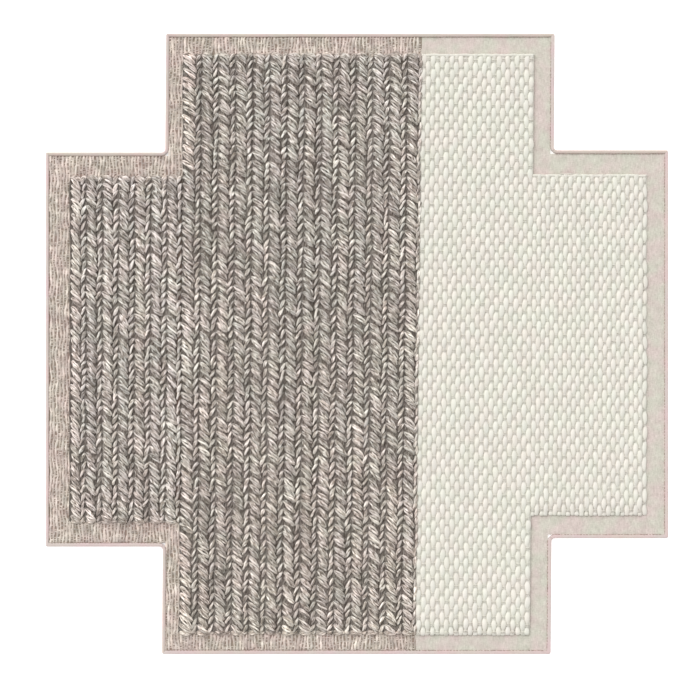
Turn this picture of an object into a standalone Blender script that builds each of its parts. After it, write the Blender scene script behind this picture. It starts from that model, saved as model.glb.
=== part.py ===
"""Area rug with a stepped, cross-shaped outline.

Two woven ground panels meet at a seam and are bound with a narrow tape. Chunky wool
braids lie side by side on the left panel, and thick cream cords, woven in a plain weave,
lie on the right one. Metres, +Z up, +Y along the braids; the origin is on the floor, in
the middle of the rug.
"""

import math

import bmesh
import bpy
from mathutils import Matrix, Vector

# Outline of the bound edge, before the lean.
OVERALL_WIDTH = 1.704
OVERALL_LENGTH = 1.698
ARM_WIDTH = 1.064
ARM_OFFSET = 0.004            # how far the arms' middle lies to the right
LEFT_SHOULDER_LOW = -0.555
LEFT_SHOULDER_HIGH = 0.524
RIGHT_SHOULDER_LOW = -0.532
RIGHT_SHOULDER_HIGH = 0.530
LEAN = 0.0105                 # sideways lean of the lengthwise lines, none at the outer sides

# Plain ground left showing around the two fields, measured from the bound edge.
ARM_END_BORDER = 0.051
SHOULDER_END_BORDER = 0.061
LEFT_ARM_BORDER = 0.046
RIGHT_ARM_BORDER = 0.058
LEFT_SIDE_BORDER = 0.067
RIGHT_SIDE_BORDER = 0.059

# Ground panels and the tape around them.
SEAM_X = 0.169                # where the ribbed panel and the grey field end
RIBBED_THICKNESS = 0.006
SMOOTH_THICKNESS = 0.005
TAPE_WIDTH = 0.010
TAPE_HEIGHT = 0.008
TAPE_ROUNDING = 0.002

# Braids: each has a narrow strand on its left and a wide strand on its right.
ARM_BRAIDS = 13
SHOULDER_BRAIDS = 7
NARROW_STRAND = 0.0148        # width in a shoulder braid, which is a little slimmer
LAST_NARROW_STRAND = 0.0112   # in the last shoulder braid, against the arms
ARM_NARROW_STRAND = 0.0155
EDGE_STRAND = 0.0285          # the lone wide strand beside the left border
ARM_EDGE_STRAND = 0.0345      # the wide strand beside the left borders of the arms
SEAM_STRAND = 0.0095          # the lone narrow strand beside the seam
NARROW_HEIGHT = 0.0135
WIDE_HEIGHT = 0.0155
BRAID_VALLEY = 0.0075

# Cream cords, a few to a solid.
ARM_GROUPS = 8
CORDS_IN_ARM_GROUP = 3
SHOULDER_GROUPS = 13
CORDS_IN_SHOULDER_GROUP = 2
CORD_HEIGHT = 0.0115
CORD_VALLEY = 0.0060

CLEARANCE = 0.0003            # between pieces that touch on the real rug
ARC_STEPS = 6                 # facets over the crown of a strand or cord
WELD_DISTANCE = 0.00001

BRAID_TINTS = ((0.36, 0.31, 0.28), (0.40, 0.35, 0.32), (0.33, 0.29, 0.26))
CORD_COLOUR = (0.78, 0.74, 0.67)
RIBBED_COLOUR = (0.54, 0.46, 0.40)
SMOOTH_COLOUR = (0.68, 0.62, 0.55)
TAPE_COLOUR = (0.65, 0.50, 0.45)


def clear_scene():
    for obj in list(bpy.data.objects):
        bpy.data.objects.remove(obj, do_unlink=True)


def leaned(x, y):
    """A lengthwise line leans to the right as it runs up, most of all in the middle."""
    side = OVERALL_WIDTH / 2
    return x + LEAN * (1 - (x / side) ** 2) * y


def wool(name, colour):
    """A dull textile material of the given linear colour."""
    material = bpy.data.materials.new(name)
    material.use_nodes = True
    shader = material.node_tree.nodes["Principled BSDF"]
    shader.inputs["Base Color"].default_value = (*colour, 1)
    shader.inputs["Roughness"].default_value = 0.92
    shader.inputs["Metallic"].default_value = 0.0
    return material


def outline_mesh(name, points, thickness, matrix):
    """A flat closed outline given thickness, as a welded mesh placed by the matrix."""
    curve = bpy.data.curves.new(name + "_outline", "CURVE")
    curve.dimensions = "2D"
    curve.fill_mode = "BOTH"
    curve.extrude = thickness / 2
    spline = curve.splines.new("POLY")
    spline.points.add(len(points) - 1)
    for spline_point, (across, along) in zip(spline.points, points):
        spline_point.co = (across, along, 0, 1)
    spline.use_cyclic_u = True
    guide = bpy.data.objects.new(name + "_outline", curve)
    bpy.context.scene.collection.objects.link(guide)
    depsgraph = bpy.context.evaluated_depsgraph_get()
    mesh = bpy.data.meshes.new_from_object(guide.evaluated_get(depsgraph))
    bpy.data.objects.remove(guide, do_unlink=True)
    bpy.data.curves.remove(curve)
    mesh.transform(matrix)
    weld = bmesh.new()
    weld.from_mesh(mesh)
    bmesh.ops.remove_doubles(weld, verts=weld.verts, dist=WELD_DISTANCE)
    bmesh.ops.recalc_face_normals(weld, faces=weld.faces)
    weld.to_mesh(mesh)
    weld.free()
    return mesh


def add_piece(name, mesh, colour, collection, smooth=False):
    """Lean the mesh, put the object's own origin in the middle of its box, and link it."""
    for vertex in mesh.vertices:
        vertex.co.x = leaned(vertex.co.x, vertex.co.y)
    corners = [vertex.co for vertex in mesh.vertices]
    low = Vector(min(corner[axis] for corner in corners) for axis in range(3))
    high = Vector(max(corner[axis] for corner in corners) for axis in range(3))
    middle = (low + high) / 2
    mesh.transform(Matrix.Translation(-middle))
    mesh.name = name
    mesh.materials.clear()
    mesh.materials.append(wool(name, colour))
    if smooth:
        mesh.shade_smooth()
        mesh.set_sharp_from_angle(angle=math.radians(50))
    piece = bpy.data.objects.new(name, mesh)
    piece.location = middle
    collection.objects.link(piece)
    return piece


def slab(name, outline, thickness, colour, collection):
    """A flat piece lying on the floor."""
    raised = Matrix.Translation((0, 0, thickness / 2))
    mesh = outline_mesh(name, outline, thickness, raised)
    return add_piece(name, mesh, colour, collection)


def crown(left, right, base, valley, height):
    """Outline points over one strand, from its left foot to its right one."""
    middle = (left + right) / 2
    reach = (right - left) / 2
    points = []
    for step in range(ARC_STEPS + 1):
        angle = math.pi * (1 - step / ARC_STEPS)
        rise = (height - valley) * math.sin(angle)
        points.append((middle + reach * math.cos(angle), base + valley + rise))
    return points


def strand_bar_mesh(name, strands, base, valley, low, high):
    """Strands lying side by side as one bar, from y = low to y = high.

    Each strand is its left edge, its right edge and its height above the base.
    """
    points = [(strands[0][0], base)]
    for left, right, height in strands:
        arc = crown(left, right, base, valley, height)
        if points[-1] == arc[0]:
            arc = arc[1:]
        points += arc
    points.append((strands[-1][1], base))
    upright = Matrix.Translation((0, (low + high) / 2, 0)) @ Matrix.Rotation(math.pi / 2, 4, "X")
    return outline_mesh(name, points, high - low, upright)


def united(name, meshes):
    """One closed mesh out of overlapping ones."""
    parts = []
    for number, mesh in enumerate(meshes):
        part = bpy.data.objects.new(f"{name}_part_{number}", mesh)
        bpy.context.scene.collection.objects.link(part)
        parts.append(part)
    for other in parts[1:]:
        union = parts[0].modifiers.new("union", "BOOLEAN")
        union.operation = "UNION"
        union.solver = "EXACT"
        union.object = other
    depsgraph = bpy.context.evaluated_depsgraph_get()
    result = bpy.data.meshes.new_from_object(parts[0].evaluated_get(depsgraph))
    for part in parts:
        bpy.data.objects.remove(part, do_unlink=True)
    return result


class Plan:
    """Edges of the rug and of its two fields, all before the lean."""

    def __init__(self):
        self.side = OVERALL_WIDTH / 2
        self.end = OVERALL_LENGTH / 2
        self.arm_left = ARM_OFFSET - ARM_WIDTH / 2
        self.arm_right = ARM_OFFSET + ARM_WIDTH / 2
        self.field_low = ARM_END_BORDER - self.end
        self.field_high = self.end - ARM_END_BORDER
        self.left_low = LEFT_SHOULDER_LOW + SHOULDER_END_BORDER
        self.left_high = LEFT_SHOULDER_HIGH - SHOULDER_END_BORDER
        self.right_low = RIGHT_SHOULDER_LOW + SHOULDER_END_BORDER
        self.right_high = RIGHT_SHOULDER_HIGH - SHOULDER_END_BORDER
        self.field_left = LEFT_SIDE_BORDER - self.side
        self.field_right = self.side - RIGHT_SIDE_BORDER
        self.arm_field_left = self.arm_left + LEFT_ARM_BORDER
        self.arm_field_right = self.arm_right - RIGHT_ARM_BORDER

    def corners(self):
        """The twelve corners, counter-clockwise from the bottom left of the lower arm."""
        return [
            (self.arm_left, -self.end),
            (self.arm_right, -self.end),
            (self.arm_right, RIGHT_SHOULDER_LOW),
            (self.side, RIGHT_SHOULDER_LOW),
            (self.side, RIGHT_SHOULDER_HIGH),
            (self.arm_right, RIGHT_SHOULDER_HIGH),
            (self.arm_right, self.end),
            (self.arm_left, self.end),
            (self.arm_left, LEFT_SHOULDER_HIGH),
            (-self.side, LEFT_SHOULDER_HIGH),
            (-self.side, LEFT_SHOULDER_LOW),
            (self.arm_left, LEFT_SHOULDER_LOW),
        ]


def inset(corners, distance):
    """The square-cornered outline moved inwards by the distance."""
    moved = []
    for index, corner in enumerate(corners):
        before = Vector(corner) - Vector(corners[index - 1])
        after = Vector(corners[(index + 1) % len(corners)]) - Vector(corner)
        inward = Vector((-before.y, before.x)).normalized() + Vector((-after.y, after.x)).normalized()
        moved.append(tuple(Vector(corner) + inward * distance))
    return moved


def add_ground(plan, collection):
    """Two panels inside the tape, parted at the seam."""
    inner = inset(plan.corners(), TAPE_WIDTH + CLEARANCE)
    seam_left = SEAM_X - CLEARANCE / 2
    seam_right = SEAM_X + CLEARANCE / 2
    low, high = inner[0][1], inner[6][1]
    ribbed = [(seam_left, low), (seam_left, high)] + inner[7:12] + [inner[0]]
    smooth = [(seam_right, high), (seam_right, low)] + inner[1:7]
    slab("ground_panel_ribbed", ribbed, RIBBED_THICKNESS, RIBBED_COLOUR, collection)
    slab("ground_panel_smooth", smooth, SMOOTH_THICKNESS, SMOOTH_COLOUR, collection)


TAPE_NAMES = (
    "lower_arm_end", "lower_arm_right", "right_notch_lower", "right_side",
    "right_notch_upper", "upper_arm_right", "upper_arm_end", "upper_arm_left",
    "left_notch_upper", "left_side", "left_notch_lower", "lower_arm_left",
)


def add_tapes(plan, collection):
    """One strip of binding tape to each side of the outline, mitred at the corners."""
    outer = plan.corners()
    inner = inset(outer, TAPE_WIDTH)
    for index, name in enumerate(TAPE_NAMES):
        following = (index + 1) % len(outer)
        run = (Vector(outer[following]) - Vector(outer[index])).normalized() * CLEARANCE
        strip = [
            tuple(Vector(outer[index]) + run),
            tuple(Vector(outer[following]) - run),
            tuple(Vector(inner[following]) - run),
            tuple(Vector(inner[index]) + run),
        ]
        tape = slab("binding_" + name, strip, TAPE_HEIGHT, TAPE_COLOUR, collection)
        rounding = tape.modifiers.new("rounding", "BEVEL")
        rounding.width = TAPE_ROUNDING
        rounding.segments = 2
        rounding.limit_method = "ANGLE"


def add_braid(number, mesh, collection):
    tint = BRAID_TINTS[number % len(BRAID_TINTS)]
    add_piece(f"braid_{number:02d}", mesh, tint, collection, smooth=True)


def add_braids(plan, collection):
    """Braids from left to right, numbered from the lone strand beside the left border."""
    base = RIBBED_THICKNESS + CLEARANCE
    gap = CLEARANCE / 2
    edge_end = plan.field_left + EDGE_STRAND
    last_start = plan.arm_field_left - LAST_NARROW_STRAND
    shoulder_pitch = (last_start - edge_end) / (SHOULDER_BRAIDS - 1)
    shoulder_end = plan.arm_field_left + ARM_EDGE_STRAND
    arm_end = SEAM_X - SEAM_STRAND
    arm_pitch = (arm_end - shoulder_end) / ARM_BRAIDS

    def bar(strands, low, high):
        return strand_bar_mesh("braid", strands, base, BRAID_VALLEY, low, high)

    def pair(start, pitch, narrow):
        """The two strands of a braid that starts at the given x."""
        middle = start + narrow
        return [
            (start + gap, middle, NARROW_HEIGHT),
            (middle, start + pitch - gap, WIDE_HEIGHT),
        ]

    edge = [(plan.field_left, edge_end - gap, WIDE_HEIGHT)]
    add_braid(0, bar(edge, plan.left_low, plan.left_high), collection)
    for index in range(SHOULDER_BRAIDS - 1):
        strands = pair(edge_end + index * shoulder_pitch, shoulder_pitch, NARROW_STRAND)
        add_braid(index + 1, bar(strands, plan.left_low, plan.left_high), collection)

    # The last shoulder braid: its wide strand runs on along both arms, its narrow one doesn't.
    narrow, wide = pair(last_start, shoulder_end - last_start, LAST_NARROW_STRAND)
    tucked = (narrow[0], (wide[0] + wide[1]) / 2, NARROW_HEIGHT)
    long_bar = bar([wide], plan.field_low, plan.field_high)
    short_bar = bar([tucked], plan.left_low, plan.left_high)
    add_braid(SHOULDER_BRAIDS, united("braid", [long_bar, short_bar]), collection)

    for index in range(ARM_BRAIDS):
        strands = pair(shoulder_end + index * arm_pitch, arm_pitch, ARM_NARROW_STRAND)
        mesh = bar(strands, plan.field_low, plan.field_high)
        add_braid(SHOULDER_BRAIDS + index + 1, mesh, collection)
    lone = [(arm_end + gap, SEAM_X - gap, NARROW_HEIGHT)]
    last = SHOULDER_BRAIDS + ARM_BRAIDS + 1
    add_braid(last, bar(lone, plan.field_low, plan.field_high), collection)


def add_cord_group(name, start, end, count, low, high, collection):
    """One solid of ridged cords that fills the width from start to end."""
    pitch = (end - start) / count
    edges = [start + index * pitch for index in range(count + 1)]
    edges[0] += CLEARANCE / 2
    edges[-1] -= CLEARANCE / 2
    cords = [(left, right, CORD_HEIGHT) for left, right in zip(edges, edges[1:])]
    base = SMOOTH_THICKNESS + CLEARANCE
    mesh = strand_bar_mesh("cords", cords, base, CORD_VALLEY, low, high)
    add_piece(name, mesh, CORD_COLOUR, collection, smooth=True)


def add_cords(plan, collection):
    arm_width = (plan.arm_field_right - SEAM_X) / ARM_GROUPS
    for group in range(ARM_GROUPS):
        start = SEAM_X + group * arm_width
        add_cord_group(f"arm_cords_{group + 1:02d}", start, start + arm_width,
                       CORDS_IN_ARM_GROUP, plan.field_low, plan.field_high, collection)
    shoulder_width = (plan.field_right - plan.arm_field_right) / SHOULDER_GROUPS
    for group in range(SHOULDER_GROUPS):
        start = plan.arm_field_right + group * shoulder_width
        add_cord_group(f"shoulder_cords_{group + 1:02d}", start, start + shoulder_width,
                       CORDS_IN_SHOULDER_GROUP, plan.right_low, plan.right_high, collection)


def main():
    clear_scene()
    collection = bpy.data.collections.new("area_rug")
    bpy.context.scene.collection.children.link(collection)
    plan = Plan()
    add_ground(plan, collection)
    add_tapes(plan, collection)
    add_braids(plan, collection)
    add_cords(plan, collection)


main()
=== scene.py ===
"""An area rug with a stepped outline: wool braids and cream cords on two woven grounds.

Metres, +Z up, +Y along the braids, with the origin on the floor in the middle of the rug.
Every strand is a closed tube of its own, laid out upright and then leaned like the CAD.
"""

import math
from types import SimpleNamespace

import bpy
import numpy as np
from numpy.random import default_rng
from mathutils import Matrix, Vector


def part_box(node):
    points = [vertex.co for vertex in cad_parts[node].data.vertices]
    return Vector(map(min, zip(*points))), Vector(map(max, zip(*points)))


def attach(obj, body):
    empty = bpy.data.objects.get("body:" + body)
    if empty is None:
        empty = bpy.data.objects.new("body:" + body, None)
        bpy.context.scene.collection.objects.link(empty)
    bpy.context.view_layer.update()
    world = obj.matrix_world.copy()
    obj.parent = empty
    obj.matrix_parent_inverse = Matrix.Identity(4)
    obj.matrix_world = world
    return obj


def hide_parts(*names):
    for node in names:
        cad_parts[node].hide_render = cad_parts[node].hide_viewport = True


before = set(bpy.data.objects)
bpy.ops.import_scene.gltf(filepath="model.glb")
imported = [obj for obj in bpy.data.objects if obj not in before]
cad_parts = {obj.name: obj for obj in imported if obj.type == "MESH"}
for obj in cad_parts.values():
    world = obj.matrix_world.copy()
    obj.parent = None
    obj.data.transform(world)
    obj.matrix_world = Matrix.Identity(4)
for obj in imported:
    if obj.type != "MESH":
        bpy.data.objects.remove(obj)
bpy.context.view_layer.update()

TURN = 2 * math.pi

# The frame's own layout.
HALF_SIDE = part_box("binding_right_side")[1].x
LEAN = 0.0105  # sideways lean of the lengthwise lines
TAPE_WIDTH = 0.010
RIBBED_CLOTH_TOP = 0.0050  # of the cloth beneath the ribs
SMOOTH_TOP = 0.005

# Braids: a chain of V-shaped stitches, each with a narrow and a wide leg.
STITCH_STEP = 0.0211
LEG_RINGS = 9
PLIES = 3
BRAID_FOOT = 0.0063  # underside of the braids
WIDE = dict(drop=0.0300, strands=5, across=0.0051, up=0.0030, yarn=0.0025, turns=0.42,
            low=0.0086, rise=0.0070, top=0.0217)
NARROW = dict(drop=0.0235, strands=2, across=0.0021, up=0.0018, yarn=0.0029, turns=0.38,
              low=0.0084, rise=0.0062, top=0.0197)
NARROW_SHOULDER = 0.0148  # width of a narrow strand in the CAD
LAST_NARROW = 0.0112
NARROW_ARM = 0.0155
FILLER_PITCH = 0.0046  # between the yarns inside a braid
FILLER_STEP = 0.0075  # between a filler's rings
FILLER_LEVEL = 0.0078
FILLER_RADIUS = 0.0026
CORE_HALF_HEIGHT = 0.0024
STRAY = 0.0015  # of the strands, to the right of the CAD's lines
EDGE_WANDER = 0.0024
END_SOFTNESS = 0.004
RECESS_PAINTED_SHADE = 0.68  # painted shade on a leg's near end, deep between two rows of legs
PAINTED_SHADE_SHARE = 0.24  # of a leg's length, over which the painted shade fades out
TONE_BRAIDS = (0, 3, 7, 8, 16, 21)
TONES = (1.01, 1.06, 1.06, 1.01, 1.00, 1.05)  # of the wool at those braids
WARMER_FROM = 8               # the first braid of the arms, which run a little warmer
WARMER = np.array([1.005, 1.0, 0.985])

# Cream cords: each goes over and under a cross thread.
CORD_REPEAT = 0.0417
ROW_START = -0.0172  # y of one row's middle
CORD_RINGS = 16  # to each repeat
CORD_FOOT = 0.0053
CORD_WAIST = 0.0042  # half the width of a cord where it dips
CORD_SWELL = 0.60  # half the width where it is full, in pitches
CORD_TOP = 0.0122  # where it dips
CORD_RISE = 0.0027  # from there to where it is full
CORD_REACH = 0.35  # half the length of a full stretch, in repeats
LAST_CORD = 49  # its stitches nearly close up
BED_LEVEL = 0.0082
BED_HEIGHT = 0.0032  # half the depth of the wool
THREAD_APART = 0.0034  # between a row's two cross threads
THREAD_RADIUS = 0.0012
THREAD_LEVEL = 0.0110
THREAD_WAVE = 0.0017
ROLL_INSET = 0.0105  # from the upper end of a field
ROLL_LEVEL = 0.0093
ROLL_RADIUS = 0.0044

# Ribs of the left ground.
RIB_PITCH = 0.0089
RIB_LEVEL = 0.0050
BAR_STEP = 0.0066
UNDER_FIELD = 0.008  # how far ribs run on under the braids

# Tints that multiply a wool's own colours.
VEIL = (1.023, 0.858, 0.726)  # ground fibres over the ends of the legs
BORDER_VEIL = (1.5, 1.42, 1.38)  # and over the legs beside the borders
FILLER_TINT = np.array([1.0, 0.95, 0.907])


def leaned(points):
    """The CAD's lean: lengthwise lines lean to the right as they run up."""
    x, y = points[..., 0], points[..., 1]
    points[..., 0] = x + LEAN * (1 - (x / HALF_SIDE) ** 2) * y
    return points


def upright(node):
    """Left, right, low and high edges of a CAD node before the lean."""
    low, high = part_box(node)
    slope = LEAN * (1 - ((low.x + high.x) / 2 / HALF_SIDE) ** 2)
    spread = slope * (high.y - low.y) / 2
    shift = slope * (high.y + low.y) / 2
    return low.x + spread - shift, high.x - spread - shift, low.y, high.y


def wander(number, along, reach, period):
    """Sideways drift of the numbered line at each place along it."""
    phases = default_rng(7000 + number).uniform(0, TURN, 3)
    waves = zip((0.5, 0.32, 0.18), (1, 0.47, 0.21), phases)
    return reach * sum(height * np.sin(TURN * along / (length * period) + phase)
                       for height, length, phase in waves)


def smooth_noise(random, places, period):
    """Smooth random values from -1 to 1, with a fresh one each period."""
    start = places.min() - period
    knots = random.uniform(-1, 1, int((places.max() - start) / period) + 3)
    position = (places - start) / period
    index = np.floor(position).astype(int)
    blend = position - index
    blend = blend * blend * (3 - 2 * blend)
    return knots[index] * (1 - blend) + knots[index + 1] * blend


def section_angles(upper, lower):
    """Angles round a tube, closer together over its upper side."""
    top = np.radians(np.linspace(-30, 210, upper))
    below = np.radians(np.linspace(210, 330, lower + 2)[1:-1])
    return np.concatenate([top, below])


ROUND_SECTION = section_angles(6, 2)
CORD_SECTION = section_angles(12, 3)
FILLER_SECTION = section_angles(5, 1)


def distance_along(points):
    """The distance of each point from the first, along the line through them."""
    steps = np.linalg.norm(np.diff(points, axis=0), axis=1)
    return np.concatenate([[0], np.cumsum(steps)])


def new_object(name, data):
    """An object linked to the scene."""
    made = bpy.data.objects.new(name, data)
    bpy.context.scene.collection.objects.link(made)
    return made


def add_uvs(mesh, title, uvs):
    """A new UV map with a place for every face corner."""
    layer = mesh.uv_layers.new(name=title)
    layer.uv.foreach_set("vector", uvs.astype(np.float32).ravel())


def add_tints(mesh, tints):
    """The tint of every point."""
    layer = mesh.color_attributes.new("yarn_tint", "FLOAT_COLOR", "POINT")
    layer.data.foreach_set("color", tints.astype(np.float32).ravel())


def frame_of(path):
    """Tangent, level sideways direction and upward direction along each path."""
    tangent = np.gradient(path, axis=1)
    tangent /= np.linalg.norm(tangent, axis=2, keepdims=True)
    across = np.stack([tangent[..., 1], -tangent[..., 0], np.zeros(tangent.shape[:2])], 2)
    across /= np.linalg.norm(across, axis=2, keepdims=True)
    return tangent, across, np.cross(across, tangent)


def tube_rings(path, half_width, half_height, angles, lobes):
    """Each ring's points: tubes x rings x angles x 3."""
    _, across, up = frame_of(path)
    shape = path.shape[:2]
    wide = np.cos(angles) * np.broadcast_to(half_width, shape)[..., None] * lobes
    high = np.sin(angles) * np.broadcast_to(half_height, shape)[..., None] * lobes
    points = path[:, :, None] + wide[..., None] * across[:, :, None]
    return points + high[..., None] * up[:, :, None]


def side_corners(t, a):
    """Ring and angle numbers of the four corners of each side face."""
    return np.stack([t, t + 1, t + 1, t], 1), np.stack([a, a, a + 1, a + 1], 1)


def tube_faces(rings, around):
    """Each side face's ring and angle; the points of the sides and both end fans."""
    t, a = (grid.ravel() for grid in
            np.meshgrid(np.arange(rings - 1), np.arange(around), indexing="ij"))
    b = (a + 1) % around
    sides = np.stack([t * around + a, (t + 1) * around + a,
                      (t + 1) * around + b, t * around + b], 1)
    ring = np.arange(around)
    following = (ring + 1) % around
    last = (rings - 1) * around
    tip = np.full(around, rings * around)
    first_fan = np.stack([tip, ring, following], 1)
    last_fan = np.stack([tip + 1, last + following, last + ring], 1)
    return t, a, sides, first_fan, last_fan


def ply_places(u, length, t, a):
    """UV of every face corner: plies round the tube, and metres along it."""
    corner_t, corner_a = side_corners(t, a)
    kinds = [np.stack([u[:, corner_t, corner_a], length[:, corner_t]], 3)]
    for ring, order in ((0, [0, 1, 2]), (-1, [0, 2, 1])):
        left, right = u[:, ring, :-1], u[:, ring, 1:]
        fan = np.stack([(left + right) / 2, left, right], 2)[..., order]
        far = np.zeros_like(fan) + length[:, ring, None, None]
        kinds.append(np.stack([fan, far], 3))
    return [places.reshape(-1, 2) for places in kinds]


def cell_places(rings, around, chunk, t, a):
    """Where every face corner lies in its cell, and the number of that cell."""
    margin, fan_room = 0.04, 0.05
    inner = 1 - 2 * (margin + fan_room)
    pieces = -(-(rings - 1) // chunk)
    cell = t // chunk
    corner_t, corner_a = side_corners(t, a)
    sides = np.stack([margin + (1 - 2 * margin) * corner_a / around,
                      margin + fan_room + inner * (corner_t - cell[:, None] * chunk) / chunk], 2)
    ring = np.arange(around)
    fan_u = margin + (1 - 2 * margin) * np.stack([ring + 0.5, ring, ring + 1], 1) / around
    low_v = np.tile([margin, margin + fan_room, margin + fan_room], (around, 1))
    edge = margin + fan_room + inner * (rings - 1 - (pieces - 1) * chunk) / chunk
    high_v = np.tile([edge + fan_room, edge, edge], (around, 1))
    first_fan = np.stack([fan_u, low_v], 2)
    last_fan = np.stack([fan_u[:, [0, 2, 1]], high_v], 2)
    return pieces, ((sides, cell), (first_fan, np.zeros(around, int)),
                    (last_fan, np.full(around, pieces - 1)))


class Yarns:
    """Gathers closed tubes and makes one mesh of them.

    The UV map "yarn" counts plies round a tube and metres along it. "OFBake" gives each
    stretch of tube a cell of its own.
    """

    def __init__(self):
        self.points, self.tints, self.faces, self.sizes = [], [], [], []
        self.yarn_uvs, self.cell_uvs, self.cells = [], [], []
        self.point_count = self.cell_count = 0

    def add(self, path, half_width, half_height, tint, angles=ROUND_SECTION, plies=1,
            groove=0.0, twist=0.0, phase=0.0, chunk=None, floor=-1.0, ceiling=1.0):
        """Tubes along path (tubes x rings x 3), tinted by four numbers, or four at each ring."""
        count, rings = path.shape[:2]
        tint = np.broadcast_to(tint, (count, rings, 4))
        around = len(angles)
        steps = np.linalg.norm(np.diff(path, axis=1), axis=2)
        length = np.concatenate([np.zeros((count, 1)), np.cumsum(steps, axis=1)], 1)
        turn = twist * length + np.broadcast_to(phase, count)[:, None]
        spin = np.append(angles, angles[0] + TURN)[None, None, :] + turn[..., None]
        lobes = 1 - groove * (1 - np.abs(np.cos(plies / 2 * spin[..., :-1])))
        points = tube_rings(path, half_width, half_height, angles, lobes)
        points[..., 2] = np.clip(points[..., 2], floor, ceiling)
        tips = points[:, [0, -1]].mean(axis=2)
        self.points.append(np.concatenate([points.reshape(count, -1, 3), tips], 1).reshape(-1, 3))
        tints = np.concatenate([np.repeat(tint, around, axis=1), tint[:, [0, -1]]], 1)
        self.tints.append(tints.reshape(-1, 4))

        t, a, *kinds = tube_faces(rings, around)
        per_tube = rings * around + 2
        start = self.point_count + np.arange(count)[:, None, None] * per_tube
        for faces in kinds:
            self.faces.append((start + faces[None]).reshape(-1))
            self.sizes.append(np.full(count * len(faces), faces.shape[1]))
        self.yarn_uvs += ply_places(plies * spin / TURN + 0.5, length, t, a)

        pieces, kinds = cell_places(rings, around, chunk or rings - 1, t, a)
        base = self.cell_count + np.arange(count)[:, None] * pieces
        for places, which in kinds:
            self.cell_uvs.append(np.tile(places.reshape(1, -1, 2), (count, 1, 1)).reshape(-1, 2))
            numbers = base + which[None]
            self.cells.append(np.repeat(numbers.reshape(-1), places.shape[1]))
        self.point_count += count * per_tube
        self.cell_count += count * pieces

    def build(self, name, material):
        """The finished piece, leaned, smooth and linked to the scene."""
        points = leaned(np.concatenate(self.points))
        loops = np.concatenate(self.faces)
        sizes = np.concatenate(self.sizes)
        mesh = bpy.data.meshes.new(name)
        mesh.vertices.add(len(points))
        mesh.vertices.foreach_set("co", points.astype(np.float32).ravel())
        mesh.loops.add(len(loops))
        mesh.loops.foreach_set("vertex_index", loops.astype(np.int32))
        mesh.polygons.add(len(sizes))
        starts = np.concatenate([[0], np.cumsum(sizes)[:-1]])
        mesh.polygons.foreach_set("loop_start", starts.astype(np.int32))
        add_uvs(mesh, "yarn", np.concatenate(self.yarn_uvs))
        add_uvs(mesh, "OFBake", self.atlas())
        add_tints(mesh, np.concatenate(self.tints))
        mesh.materials.append(material)
        mesh.update(calc_edges=True)
        mesh.validate()
        mesh.shade_smooth()
        return new_object(name, mesh)

    def atlas(self):
        """Each cell's place in a square grid."""
        columns = math.ceil(math.sqrt(self.cell_count))
        cells = np.concatenate(self.cells)
        corners = np.stack([cells % columns, cells // columns], 1)
        return (corners + np.concatenate(self.cell_uvs)) / columns


def settle(piece, slot, *nodes):
    """Ride the piece on the rug and let it stand for its CAD nodes. slot is not used."""
    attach(piece, "root")
    if nodes:
        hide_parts(*nodes)
    return piece


# Materials.

def add_node(tree, kind, inputs, **settings):
    """A new node; an input is a plain value or another node's output."""
    node = tree.nodes.new(kind)
    for key, value in settings.items():
        setattr(node, key, value)
    for key, value in inputs.items():
        if isinstance(value, bpy.types.NodeSocket):
            tree.links.new(value, node.inputs[key])
        else:
            node.inputs[key].default_value = value
    return node


def maths(tree, operation, *values):
    """The result of one calculation on numbers or outputs."""
    inputs = dict(enumerate(values))
    return add_node(tree, "ShaderNodeMath", inputs, operation=operation).outputs[0]


def vector(tree, x, y, z=0.0):
    """A place made of three numbers or outputs."""
    return add_node(tree, "ShaderNodeCombineXYZ", {"X": x, "Y": y, "Z": z}).outputs[0]


def stretched(tree, x, x_scale, y, y_scale, z=0.0):
    """A place whose first two coordinates are scaled."""
    x, y = maths(tree, "MULTIPLY", x, x_scale), maths(tree, "MULTIPLY", y, y_scale)
    return vector(tree, x, y, z)


def noise(tree, place, scale=1.0, detail=2.0, rough=0.5):
    """Soft noise from 0 to 1 at a place."""
    inputs = {"Vector": place, "Scale": scale, "Detail": detail, "Roughness": rough}
    return add_node(tree, "ShaderNodeTexNoise", inputs).outputs["Fac"]


def colour_ramp(tree, value, stops):
    """A ramp with a linear colour at each stop."""
    node = add_node(tree, "ShaderNodeValToRGB", {"Fac": value})
    elements = node.color_ramp.elements
    while len(elements) < len(stops):
        elements.new(0.5)
    for element, (position, colour) in zip(elements, stops):
        element.position = position
        element.color = (*colour, 1)
    return node.outputs["Color"]


def swayed(tree, tone, fac, share):
    """The tone, raised or lowered by a share of how far fac is from a half."""
    return maths(tree, "MULTIPLY_ADD", maths(tree, "SUBTRACT", fac, 0.5), share, tone)


def multiplied(tree, first, second):
    """The product of two colours."""
    node = add_node(tree, "ShaderNodeMix", {"Factor": 1.0}, data_type="RGBA",
                    blend_type="MULTIPLY")
    tree.links.new(first, node.inputs["A"])
    tree.links.new(second, node.inputs["B"])
    return node.outputs["Result"]


def set_inputs(node, **values):
    """Set plain values on a node's inputs, named with underscores for spaces."""
    for key, value in values.items():
        node.inputs[key.replace("_", " ")].default_value = value


def new_material(name, roughness=0.9, sheen=0.0):
    """A matt material, with its node tree and shader."""
    material = bpy.data.materials.new(name)
    material.use_nodes = True
    shader = material.node_tree.nodes["Principled BSDF"]
    set_inputs(shader, Roughness=roughness, Sheen_Weight=sheen, Sheen_Roughness=0.6,
               Specular_IOR_Level=0.15)
    return material, material.node_tree, shader


def own_place(tree):
    """The object's own coordinates, in metres."""
    return add_node(tree, "ShaderNodeTexCoord", {}).outputs["Object"]


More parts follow.
